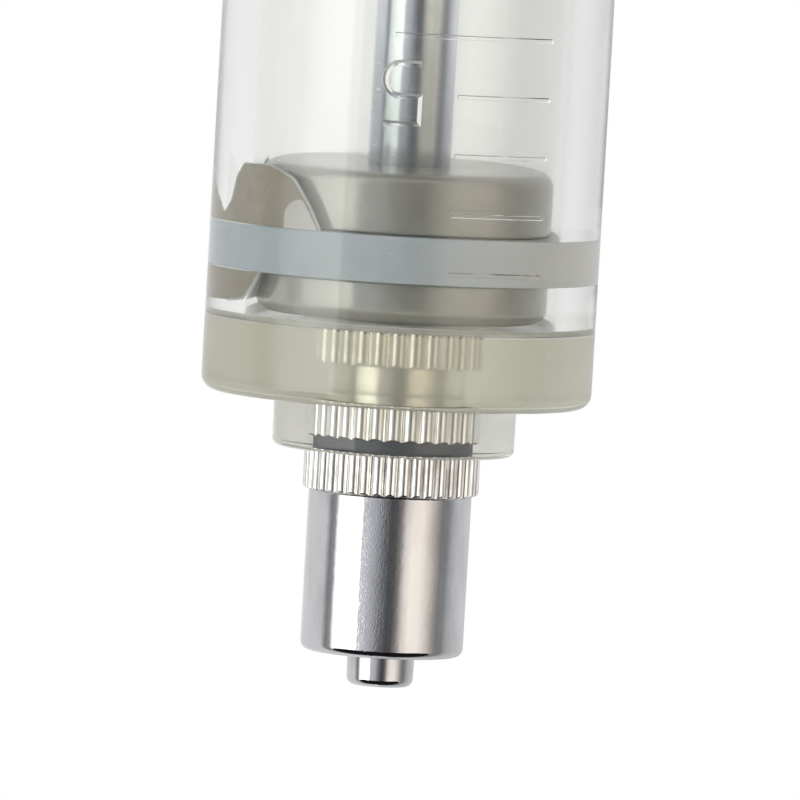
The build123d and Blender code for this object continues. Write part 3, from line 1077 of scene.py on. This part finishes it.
# ------------------------------------------------------------------ nozzle
@dataclass
class Nozzle(Assembly):
    """Washer, ridged body, lock collar and luer cone."""

    ridges: int = 40
    ridge_depth: float = 0.35
    ridge_end: float = 0.2
    body_height: float = 2.5
    stem_radius: float = 2.2
    passage: float = 1.25
    shank: float = 2.3
    collar_edge: float = 0.5
    collar_bore: float = 4.0
    tip_radius: float = 2.0
    taper: float = 0.03
    cone_length: float = 7.9
    flange_height: float = 0.8
    lumen: float = 1.0
    thread_radius: float = 0.22
    thread_start: float = 0.8
    thread_turns: float = 2.0
    thread_pitch: float = 2.5
    turn_steps: int = 48

    def build(self) -> None:
        """Models the nozzle from the washer down to the tip."""
        self._washer()
        self._body()
        self._collar()
        self._cone()

    def _washer(self) -> None:
        """Dark washer under the bush."""
        base, top, radius = node_span("nozzle_washer")
        piece = turned("nozzle_seal_washer", tube(radius, self.stem_radius, base, top, 0.05))
        self.dress(piece, Finish.WASHER, "dark_washer", "barrel", "nozzle_washer")

    def _body(self) -> None:
        """Ridged disc and its stem."""
        base, top, crest = node_span("nozzle_body")
        disc_top = base + self.body_height
        disc = Ridges(crest, self.ridge_depth, self.ridges, base, disc_top, self.ridge_end, self.passage)
        stem = lathe(tube(self.stem_radius, self.passage, disc_top, top, 0.1), 64)
        piece = joined("nozzle_ridged_body", [disc.build(), stem])
        self.dress(piece, Finish.KNURL, "nozzle_chrome", "barrel", "nozzle_body")

    def _thread(self, base: float) -> BMesh:
        """Lock thread inside the collar, two starts of a rounded rib.

        Args:
            base: Height of the collar's open end.

        Returns:
            The ribs' mesh.
        """
        bm = bmesh.new()
        steps = int(self.turn_steps * self.thread_turns)
        climb = (0.0, 0.0, self.thread_pitch * self.thread_turns / steps)
        turn = 2 * math.pi * self.thread_turns
        for start in (0.0, math.pi):
            rib = bmesh.ops.create_circle(bm, cap_ends=True, segments=12, radius=self.thread_radius)["verts"]
            bmesh.ops.rotate(bm, cent=ORIGIN, matrix=Matrix.Rotation(math.pi / 2, 3, "X"), verts=rib)
            bmesh.ops.translate(bm, vec=(self.collar_bore, 0.0, base + self.thread_start), verts=rib)
            bmesh.ops.rotate(bm, cent=ORIGIN, matrix=Matrix.Rotation(start, 3, "Z"), verts=rib)
            edges = list({edge for vert in rib for edge in vert.link_edges})
            geom = rib + edges + list({face for vert in rib for face in vert.link_faces})
            bmesh.ops.spin(bm, geom=geom, cent=ORIGIN, axis=UP, dvec=climb, angle=turn, steps=steps)
        close_up(bm)
        return bm

    def _collar(self) -> None:
        """Smooth sleeve with a web at its top and the lock thread inside."""
        base, top, radius = node_span("lock_collar")
        web = node_span("luer_cone")[0] + self.cone_length + self.flange_height
        corners = [
            Corner(self.collar_bore, base, 0.2),
            Corner(radius, base, self.collar_edge),
            Corner(radius, top, 0.18),
            Corner(self.shank, top),
            Corner(self.shank, web),
            Corner(self.collar_bore, web, 0.2),
        ]
        piece = joined("luer_lock_collar", [lathe(corners, 192), self._thread(base)])
        self.dress(piece, Finish.CHROME, "nozzle_chrome", "barrel", "lock_collar")

    def _cone(self) -> None:
        """Tapered tip with its lumen, flange and shank."""
        base, top, flange = node_span("luer_cone")
        root = base + self.cone_length
        corners = [
            Corner(self.lumen, base, 0.12),
            Corner(self.tip_radius, base, 0.45),
            Corner(self.tip_radius + self.taper * self.cone_length, root),
            Corner(flange, root, 0.1),
            Corner(flange, root + self.flange_height, 0.1),
            Corner(self.shank, root + self.flange_height),
            Corner(self.shank, top),
            Corner(self.lumen, top),
        ]
        piece = turned("luer_tip", corners, 128)
        self.dress(piece, Finish.TIP, "nozzle_chrome", "barrel", "luer_cone")


# ------------------------------------------------------------------ plunger
@dataclass(frozen=True)
class Smear:
    """A patch of grease on the bore, beside the seal.

    Args:
        name: Its piece's name.
        finish: Its finish; thin grease has no raised edge.
        lean: How far its edge runs back round the bore, from its surface to the piston.
        corners: Angle in degrees, rise over the seal's edge and roundness of each corner.
    """

    name: str
    finish: Finish
    lean: float
    corners: tuple[tuple[float, float, float], ...]


@dataclass
class Plunger(Assembly):
    """Piston halves, sealing ring, the grease round them and the rod."""

    rod_radius: float = 2.5
    corner: float = 0.8
    lip: float = 0.15
    hub: float = 6.2
    front_thickness: float = 2.45
    bore: float = 9.5
    bite: float = 0.02
    thin_bite: float = 0.03
    piston_facets: int = 160
    seal_facets: int = 200
    grease_depth: float = 0.6
    grease_facet: float = 0.35
    grease_edge: float = 0.08

    def build(self) -> None:
        """Models what slides in the barrel."""
        self._piston()
        seal_low, seal_high, _ = node_span("piston_seal")
        section = tube(self.bore + self.bite, self.hub, seal_low, seal_high, 0.08)
        ring = turned("sealing_ring", section, self.seal_facets)
        self.dress(ring, Finish.SEAL, "seal_silicone", "seal", "piston_seal")
        low, high, _ = node_span("plunger_rod")
        ends = [Corner(self.rod_radius, low, 0.1), Corner(self.rod_radius, high, 0.25)]
        rod = turned("smooth_rod", [Corner(0.0, low), *ends, Corner(0.0, high)])
        self.dress(rod, Finish.ROD, "rod_plate", "plunger", "plunger_rod")
        above, below, thin = self._smears()
        self._grease(above, seal_high)
        self._grease(below, seal_low)
        self._grease(thin, seal_high)

    def _piston(self) -> None:
        """Front half with the hub that carries the ring, and rear half."""
        base, hub_top, radius = node_span("piston_front")
        groove = base + self.front_thickness
        rod_end = node_span("plunger_rod")[0]
        front = [
            Corner(0.0, base),
            Corner(radius, base, self.corner),
            Corner(radius, groove, self.lip),
            Corner(self.hub, groove),
            Corner(self.hub, hub_top),
            Corner(self.rod_radius, hub_top),
            Corner(self.rod_radius, rod_end),
            Corner(0.0, rod_end),
        ]
        low, high, _ = node_span("piston_rear")
        rear = [
            Corner(self.rod_radius, low),
            Corner(radius, low, self.lip),
            Corner(radius, high, self.corner),
            Corner(self.rod_radius, high, 0.1),
        ]
        for node, section in (("piston_front", front), ("piston_rear", rear)):
            half = turned(f"{node}_half", section, self.piston_facets)
            self.dress(half, Finish.PISTON, "piston_plastic", "plunger", node)

    def _smears(self) -> tuple[Smear, Smear, Smear]:
        """Lays out the grease.

        Returns:
            The patch above the seal, the one below it, and the thin one above it.
        """
        above = (
            (-104.0, 0.0, 0.0),
            (-104.0, 3.39, 0.2),
            (-97.0, 2.99, 0.3),
            (-87.5, 1.59, 0.4),
            (-79.5, 0.44, 0.35),
            (-74.0, 1.29, 0.4),
            (-70.8, 2.79, 0.4),
            (-66.5, 3.59, 0.45),
            (-52.0, 3.69, 0.6),
            (-41.0, 2.99, 0.9),
            (-34.0, 1.39, 0.7),
            (-29.6, 0.0, 0.0),
        )
        below = (
            (-104.0, 0.0, 0.0),
            (-55.0, 0.0, 0.2),
            (-58.5, -0.89, 0.3),
            (-63.0, -1.69, 0.3),
            (-72.0, -1.87, 0.3),
            (-104.0, -2.09, 0.1),
        )
        # The thin patch is a pale oval: thin grease, with a painted reflection of the left light in its
        # colour.
        thin = ((-44.5, 0.0, 0.0), (-44.8, 1.69, 1.1), (-37.2, 1.79, 0.35), (-30.6, 0.0, 0.0))
        return (
            Smear("grease_above_seal", Finish.GREASE, 0.45, above),
            Smear("grease_below_seal", Finish.GREASE, 0.95, below),
            Smear("grease_thin_patch", Finish.THIN_GREASE, 0.45, thin),
        )

    def _grease(self, smear: Smear, level: float) -> None:
        """Fills part of the gap between piston and bore with grease.

        Args:
            smear: The patch.
            level: Height of the seal's edge beside it.
        """
        thin = smear.finish is Finish.THIN_GREASE
        reach = self.bore + (self.thin_bite if thin else self.bite)
        corners = [
            Corner(math.radians(angle) * reach, level + rise, bend) for angle, rise, bend in smear.corners
        ]
        bm = bmesh.new()
        wire(bm, corners)
        bmesh.ops.contextual_create(bm, geom=bm.edges[:])
        low = min(vert.co.x for vert in bm.verts)
        high = max(vert.co.x for vert in bm.verts)
        cuts = int((high - low) / self.grease_facet)
        for cut in range(1, cuts):
            place = Vector((low + (high - low) * cut / cuts, 0.0, 0.0))
            geom = bm.verts[:] + bm.edges[:] + bm.faces[:]
            bmesh.ops.bisect_plane(bm, geom=geom, dist=1e-5, plane_co=place, plane_no=(1.0, 0.0, 0.0))
        made = bmesh.ops.extrude_face_region(bm, geom=bm.faces[:])["geom"]
        bmesh.ops.translate(bm, vec=(-smear.lean, self.grease_depth, 0.0), verts=picked(made, BMVert))
        bmesh.ops.recalc_face_normals(bm, faces=bm.faces[:])
        wrap(bm, reach)
        self.dress(to_object(bm, smear.name), smear.finish, "seal_silicone", "seal")
        if not thin:
            # The edge bead is pale, a painted highlight along the grease's edge.
            edge = stroke(corners[1:], self.grease_edge)
            wrap(edge, self.bore - self.bite)
            self.dress(to_object(edge, f"{smear.name}_edge"), Finish.MENISCUS, "seal_silicone", "seal")


# ------------------------------------------------------------------ head of the barrel
@dataclass
class Head(Assembly):
    """Finger grip, head cap, their washers and the rod's guide."""

    facets: int = 192
    past: float = 1.0
    barrel: float = 11.9
    skirt: float = 14.4
    skirt_wall: float = 3.0
    clearance: float = 0.05
    wing_height: float = 4.6
    wing_hub: float = 15.8
    wing_end: float = 6.2
    wing_edge: float = 1.1
    scallop: float = 15.0
    scallop_depth: float = 2.0
    cap_ridges: int = 60
    ridge_depth: float = 0.4
    ridge_end: float = 0.4
    band_bite: float = 0.5
    plain_band: float = 1.2
    edge: float = 0.8
    plate: float = 3.6
    hub: float = 6.9
    hub_height: float = 4.2
    recess: float = 1.0
    rod: float = 2.55
    guide_wall: float = 1.3
    guide_flange: float = 1.0
    gasket_bore: float = 9.7
    retainer_bore: float = 2.7
    edge_round: float = 0.12

    def build(self) -> None:
        """Models everything at the head."""
        self._grip()
        self._cap()
        self._rings()

    def _wings(self, base: float, reach: float) -> BMesh:
        """Plate with two rounded wings.

        Args:
            base: Its lower height.
            reach: Distance from the axis to the middle of each wing's end.

        Returns:
            The plate's mesh, with its rims rounded.
        """
        bm = bmesh.new()
        for place, radius in ((0.0, self.wing_hub), (-reach, self.wing_end), (reach, self.wing_end)):
            for height in (base, base + self.wing_height):
                where = Matrix.Translation((place, 0.0, height))
                bmesh.ops.create_circle(bm, segments=160, radius=radius, matrix=where)
        hull = bmesh.ops.convex_hull(bm, input=bm.verts[:])
        spare = set(picked(hull["geom_interior"] + hull["geom_unused"], BMVert))
        bmesh.ops.delete(bm, geom=list(spare), context="VERTS")
        bmesh.ops.dissolve_limit(bm, angle_limit=math.radians(0.5), verts=bm.verts[:], edges=bm.edges[:])
        rims = [edge for edge in bm.edges if edge.calc_face_angle(0.0) > math.radians(60)]
        round_off(bm, rims, self.wing_edge, 5, "EDGES")
        return bm

    def _grip(self) -> None:
        """Two-winged grip on a skirt."""
        base, top, span = node_span("finger_grip")
        piece = to_object(self._wings(base, span - self.wing_end), "finger_grip_wings")
        for side in (-1.0, 1.0):
            place = (side * (self.wing_hub + span) / 2, 0.0, base + self.scallop_depth - self.scallop)
            where = Matrix.Translation(place) @ Matrix.Rotation(math.pi / 2, 4, "X")
            carve(piece, prism(self.scallop, 3 * self.wing_hub, 240, where), "DIFFERENCE")
        inner = self.skirt - self.skirt_wall
        outer = [Corner(self.skirt, base), Corner(self.skirt, top, 0.2)]
        carve(piece, lathe([Corner(inner, base), *outer, Corner(inner, top)], self.facets), "UNION")
        carve(piece, plug(self.barrel, base - self.past, top + self.past, self.facets), "DIFFERENCE")
        soften(piece)
        self.dress(piece, Finish.HANDLE, "grip_chrome", "barrel", "finger_grip")

    def _cap(self) -> None:
        """Ridged head cap with its hub and the recess for the wiper's retainer."""
        base, top, crest = node_span("head_cap")
        plate_top = top - self.hub_height
        ceiling = plate_top - self.plate
        guide = self.rod + self.guide_wall
        root = crest - self.ridge_depth
        inside = self.skirt + self.clearance
        corners = [
            Corner(inside, base, 0.2),
            Corner(root, base, 0.3),
            Corner(root, plate_top, self.edge),
            Corner(self.hub, plate_top, 0.3),
            Corner(self.hub, top, self.edge),
            Corner(guide + self.recess, top, 0.15),
            Corner(guide + self.recess, top - self.recess),
            Corner(guide, top - self.recess),
            Corner(guide, ceiling),
            Corner(inside, ceiling),
        ]
        low, high = base + self.plain_band, plate_top - self.plain_band
        bore = root - self.band_bite
        band = Ridges(crest, self.ridge_depth, self.cap_ridges, low, high, self.ridge_end, bore)
        piece = joined("ridged_head_cap", [lathe(corners, self.facets), band.build()])
        self.dress(piece, Finish.HANDLE, "cap_chrome", "barrel", "head_cap")

    def _guide(self) -> list[Corner]:
        """Draws the section of the flanged bush that guides the rod.

        Returns:
            The corners.
        """
        base, top, radius = node_span("rod_guide")
        body = self.rod + self.guide_wall
        return [
            Corner(self.rod, base, 0.1),
            Corner(radius, base, 0.1),
            Corner(radius, base + self.guide_flange, 0.1),
            Corner(body, base + self.guide_flange),
            Corner(body, top),
            Corner(self.rod, top, 0.1),
        ]

    def _ring(self, node: str, bore: float) -> list[Corner]:
        """Section of a plain ring that fills a node round a bore."""
        base, top, radius = node_span(node)
        return tube(radius, bore, base, top, self.edge_round)

    def _rings(self) -> None:
        """Washers, gasket, guide bush, wiper and retainer."""
        grip = self._ring("grip_washer", self.barrel)
        gasket = self._ring("cap_gasket", self.gasket_bore)
        retainer = self._ring("wiper_retainer", self.retainer_bore)
        plan = (
            ("grip_cushion_washer", "grip_washer", grip, Finish.GASKET, "gasket_rubber"),
            ("head_gasket", "cap_gasket", gasket, Finish.GASKET, "gasket_rubber"),
            ("guide_bush", "rod_guide", self._guide(), Finish.GUIDE, "guide_plastic"),
            ("wiper_retainer_ring", "wiper_retainer", retainer, Finish.HANDLE, "cap_chrome"),
        )
        for name, node, corners, finish, slot in plan:
            self.dress(turned(name, corners), finish, slot, "barrel", node)
        base, top, radius = node_span("rod_wiper")
        thick = top - base
        ring = turned("wiper_ring", tube(radius, radius - thick, base, top, 0.49 * thick), 96)
        self.dress(ring, Finish.RUBBER, "gasket_rubber", "barrel", "rod_wiper")


# ------------------------------------------------------------------ handle
@dataclass
class Handle(Assembly):
    """Buffer, lock nut, ridged socket and thumb ring."""

    rod: float = 2.55
    past: float = 1.0
    nut_flats: float = 8.0
    chamfer_foot: float = 2.2
    chamfer_height: float = 0.85
    chamfer_past: float = 0.6
    socket_bore: float = 7.5
    socket_ridges: int = 30
    ridge_depth: float = 0.25
    ridge_end: float = 0.3
    band_bite: float = 0.4
    plain_band: float = 0.8
    socket_edge: float = 0.4
    shoulder: float = 3.0
    shoulder_length: float = 3.5
    ring_width: float = 5.2
    ring_depth: float = 6.4
    hole: float = 10.8
    neck: float = 3.6
    neck_length: float = 3.0
    waist_depth: float = 0.6
    waist_height: float = 1.4
    waist_round: float = 1.2
    neck_inset: float = 0.3
    neck_taper: float = 0.6
    neck_end_inset: float = 1.0
    neck_bite: float = 0.4

    def build(self) -> None:
        """Models everything on the rod's outer end."""
        base, top, radius = node_span("buffer_washer")
        buffer = turned("buffer_ring", tube(radius, self.rod, base, top, 0.4))
        self.dress(buffer, Finish.RUBBER, "buffer_rubber", "plunger", "buffer_washer")
        self._nut()
        self._socket()
        self._ring()

    def _nut(self) -> None:
        """Hexagonal lock nut with turned-off corners."""
        base, top, _ = node_span("lock_nut")
        corner = self.nut_flats / math.sqrt(3.0)
        where = Matrix.Translation((0.0, 0.0, (base + top) / 2)) @ Matrix.Rotation(math.radians(30.0), 4, "Z")
        piece = to_object(prism(corner, top - base, 6, where), "hexagon_lock_nut")
        low, high, wide = base - self.past, top + self.past, corner + self.chamfer_past
        section = [
            Corner(0.0, low),
            Corner(self.chamfer_foot, low),
            Corner(wide, base + self.chamfer_height),
            Corner(wide, top - self.chamfer_height),
            Corner(self.chamfer_foot, high),
            Corner(0.0, high),
        ]
        carve(piece, lathe(section, 96), "INTERSECT")
        carve(piece, plug(self.rod, low, high, 64), "DIFFERENCE")
        soften(piece, 20.0)
        self.dress(piece, Finish.HANDLE, "handle_chrome", "plunger", "lock_nut")

    def _socket(self) -> None:
        """Ridged socket with a plain shoulder."""
        base, top, crest = node_span("ring_socket")
        root = crest - self.ridge_depth
        shoulder = top - self.shoulder_length
        corners = [
            Corner(self.rod, base, 0.1),
            Corner(root, base, 0.25),
            Corner(root, shoulder, self.socket_edge),
            Corner(self.shoulder, shoulder, 0.3),
            Corner(self.shoulder, top, 0.1),
            Corner(0.0, top),
            Corner(0.0, base + self.socket_bore),
            Corner(self.rod, base + self.socket_bore),
        ]
        low, high = base + self.plain_band, shoulder - self.plain_band
        bore = root - self.band_bite
        band = Ridges(crest, self.ridge_depth, self.socket_ridges, low, high, self.ridge_end, bore)
        piece = joined("ridged_ring_socket", [lathe(corners), band.build()])
        self.dress(piece, Finish.HANDLE, "handle_chrome", "plunger", "ring_socket")

    def _ring(self) -> None:
        """Thumb ring of oval section with a waisted neck."""
        _, top, _ = node_span("thumb_ring")
        middle = top - self.hole - self.ring_width
        bm = bmesh.new()
        section = bmesh.ops.create_circle(bm, segments=40, radius=1.0)["verts"]
        bmesh.ops.scale(bm, vec=(self.ring_width / 2, self.ring_depth / 2, 1.0), verts=section)
        bmesh.ops.translate(bm, vec=(self.hole + self.ring_width / 2, 0.0, middle), verts=section)
        spin_round(bm, 160, Vector((0.0, 0.0, middle)), Vector((0.0, 1.0, 0.0)))
        foot = node_span("ring_socket")[1]
        neck_top = foot + self.neck_length
        half = self.ring_depth / 2
        neck = [
            Corner(0.0, foot),
            Corner(self.neck, foot, 0.3),
            Corner(self.neck - self.waist_depth, foot + self.waist_height, self.waist_round),
            Corner(half - self.neck_inset, neck_top - self.neck_taper),
            Corner(half - self.neck_end_inset, neck_top + self.neck_bite),
            Corner(0.0, neck_top + self.neck_bite),
        ]
        piece = joined("oval_thumb_ring", [bm, lathe(neck)])
        self.dress(piece, Finish.HANDLE, "handle_chrome", "plunger", "thumb_ring")


# ------------------------------------------------------------------ studio
@dataclass
class Studio:
    """Pale floor, soft lights, a dark card and the camera."""

    distance: float = 0.6
    elevation: float = 3.8
    roll: float = 3.3
    lens: float = 445.0
    target: Vector = field(default_factory=lambda: Vector((0.00027, 0.0, 0.0174)))
    floor_drop: float = 0.06
    floor_radius: float = 0.34
    floor_glow: float = 0.35
    card_size: tuple[float, float] = (155.0, 68.0)
    card_place: tuple[float, float, float] = (0.0, -76.0, -50.0)
    light_reach: float = 0.5
    light_rise: float = 0.1
    brightest: float = 4.0
    ceiling: float = 0.6
    ceiling_blend: float = 1 / 6
    ceiling_light: float = 0.85
    fill_light: float = 0.5

    def build(self) -> None:
        """Sets floor, lights, world and camera."""
        self._floor()
        self._card()
        self._world()
        self._panel("left_softbox", -56.0, 36.0, 0.7, 1.5, (1.0, 1.0, 1.0))
        self._panel("right_softbox", 41.0, 34.0, 0.7, 1.0, (1.0, 0.97, 0.92))
        self._camera()

    def _floor(self) -> None:
        """A round pale floor under the syringe."""
        bm = bmesh.new()
        bmesh.ops.create_circle(bm, cap_ends=True, segments=96, radius=self.floor_radius / MM)
        bmesh.ops.translate(bm, vec=(0.0, 0.0, -self.floor_drop / MM), verts=bm.verts[:])
        floor = to_object(bm, "floor")
        nodes = Nodes("floor_paper")
        nodes.set(Base_Color=grey(0.9), Roughness=0.9, Emission_Color=grey(1.0))
        rays = nodes.add("LightPath").outputs
        seen = nodes.math("MAXIMUM", rays["Is Camera Ray"], rays["Is Transmission Ray"])
        nodes.set(Emission_Strength=nodes.math("MULTIPLY", seen, self.floor_glow))
        floor.data.materials.append(nodes.material)
        floor.visible_glossy = False

    def _card(self) -> None:
        """A dark card below the front of the syringe that only bright metal shows."""
        bm = bmesh.new()
        bmesh.ops.create_circle(bm, cap_ends=True, segments=64, radius=1.0)
        bmesh.ops.scale(bm, vec=(*self.card_size, 1.0), verts=bm.verts[:])
        bmesh.ops.translate(bm, vec=self.card_place, verts=bm.verts[:])
        card = to_object(bm, "dark_card")
        nodes = Nodes("card_black")
        nodes.set(Base_Color=grey(0.02), Roughness=0.9, Specular_IOR_Level=0.0)
        card.data.materials.append(nodes.material)
        card.visible_camera = card.visible_diffuse = False
        card.visible_transmission = card.visible_shadow = False

    def _panel(
        self, name: str, azimuth: float, spread: float, height: float, radiance: float, color: Color
    ) -> None:
        """A soft panel light. What it looks like in metal and plastic comes from the world.

        Args:
            name: The light's name.
            azimuth: Degrees from the front, towards +X.
            spread: Degrees that the panel covers, seen from the syringe.
            height: The panel's height, in metres.
            radiance: How bright its face is, where 1 is white.
            color: The light's colour.
        """
        turn = math.radians(azimuth)
        width = 2 * self.light_reach * math.tan(math.radians(spread) / 2)
        data = bpy.data.lights.new(name, "AREA")
        data.shape = "RECTANGLE"
        data.size = width
        data.size_y = height
        data.energy = radiance * math.pi * width * height
        data.color = color
        lamp = bpy.data.objects.new(name, data)
        place = Vector((math.sin(turn), -math.cos(turn), 0.0)) * self.light_reach
        lamp.location = place + self.light_rise * UP
        lamp.rotation_euler = place.to_track_quat("Z", "Y").to_euler()
        lamp.visible_camera = lamp.visible_glossy = lamp.visible_transmission = False
        bpy.context.scene.collection.objects.link(lamp)

    def _tent(self) -> list[tuple[float, Color]]:
        """Lays out what surrounds the syringe.

        Returns:
            Azimuths from the front towards +X, in degrees, and the brightness there.
        """
        return [
            (-180, grey(0.84)),
            (-168, grey(0.88)),
            (-98, grey(0.85)),
            (-94, grey(0.6)),
            (-88, grey(0.3)),
            (-80, grey(0.45)),
            (-75, grey(1.75)),
            (-66, grey(2.3)),
            (-55, grey(2.8)),
            (-38, (3.15, 3.12, 3.05)),
            (-36, (0.8, 0.81, 0.84)),
            (-16, (0.6, 0.61, 0.64)),
            (-9, (0.33, 0.335, 0.36)),
            (4, grey(0.1)),
            (12, grey(0.13)),
            (19, (0.36, 0.33, 0.31)),
            (27, (1.12, 1.04, 0.96)),
            (36, (1.45, 1.33, 1.18)),
            (50, (1.38, 1.26, 1.13)),
            (64, (0.95, 0.87, 0.79)),
            (73, (0.6, 0.54, 0.49)),
            (82, grey(0.32)),
            (93, grey(0.33)),
            (104, grey(0.6)),
            (116, grey(0.75)),
            (136, grey(0.82)),
            (150, grey(0.79)),
            (162, grey(0.71)),
            (174, grey(0.68)),
            (180, grey(0.82)),
        ]

    def _world(self) -> None:
        """White to the camera; a light tent with panels and an opening to everything else."""
        world = bpy.data.worlds.new("tent")
        world.use_nodes = True
        nodes = Wiring(world.node_tree)
        rays = nodes.add("LightPath").outputs
        way = nodes.add("SeparateXYZ", Vector=nodes.add("TexCoord").outputs["Generated"]).outputs
        angle = nodes.math("ARCTAN2", way["X"], nodes.math("MULTIPLY", way["Y"], -1.0))
        turn = nodes.math("ADD", nodes.math("DIVIDE", angle, 2 * math.pi), 0.5)
        stops = [
            ((azimuth + 180.0) / 360.0, tuple(part / self.brightest for part in color))
            for azimuth, color in self._tent()
        ]
        tent = self._background(nodes, nodes.ramp(turn, stops), self.brightest)
        above = nodes.rise(way["Z"], self.ceiling, self.ceiling + self.ceiling_blend)
        ceiling = self._background(nodes, grey(1.0), self.ceiling_light)
        studio = nodes.combine("MixShader", None, above, tent, ceiling)
        fill = self._background(nodes, grey(1.0), self.fill_light)
        shown = nodes.math("MAXIMUM", rays["Is Glossy Ray"], rays["Is Transmission Ray"])
        unseen = nodes.combine("MixShader", None, shown, fill, studio)
        paper = self._background(nodes, grey(1.0), 1.0)
        final = nodes.combine("MixShader", None, rays["Is Camera Ray"], unseen, paper)
        nodes.add("OutputWorld", Surface=final)
        bpy.context.scene.world = world

    def _background(self, nodes: Wiring, color: Source, strength: float) -> Socket:
        """A world background of one colour and strength."""
        return nodes.add("Background", Color=color, Strength=strength).outputs["Background"]

    def _camera(self) -> None:
        """A long lens slightly above the syringe, rolled as the syringe leans."""
        data = bpy.data.cameras.new("camera")
        data.lens = self.lens
        data.sensor_width = 36.0
        camera = bpy.data.objects.new("camera", data)
        rise = math.radians(self.elevation)
        offset = Vector((0.0, -math.cos(rise), math.sin(rise))) * self.distance
        camera.location = self.target + offset
        look = offset.to_track_quat("Z", "Y").to_matrix().to_4x4()
        look = look @ Matrix.Rotation(math.radians(self.roll), 4, "Z")
        camera.rotation_euler = look.to_euler()
        bpy.context.scene.collection.objects.link(camera)
        bpy.context.scene.camera = camera


def main() -> None:
    """Builds every assembly and the studio."""
    logging.basicConfig(level=logging.INFO, format="%(name)s %(message)s")
    bpy.context.scene.view_settings.view_transform = "Standard"
    for assembly in (Barrel(), Bush(), Nozzle(), Plunger(), Head(), Handle()):
        assembly.build()
    Studio().build()


if __name__ == "__main__":
    main()
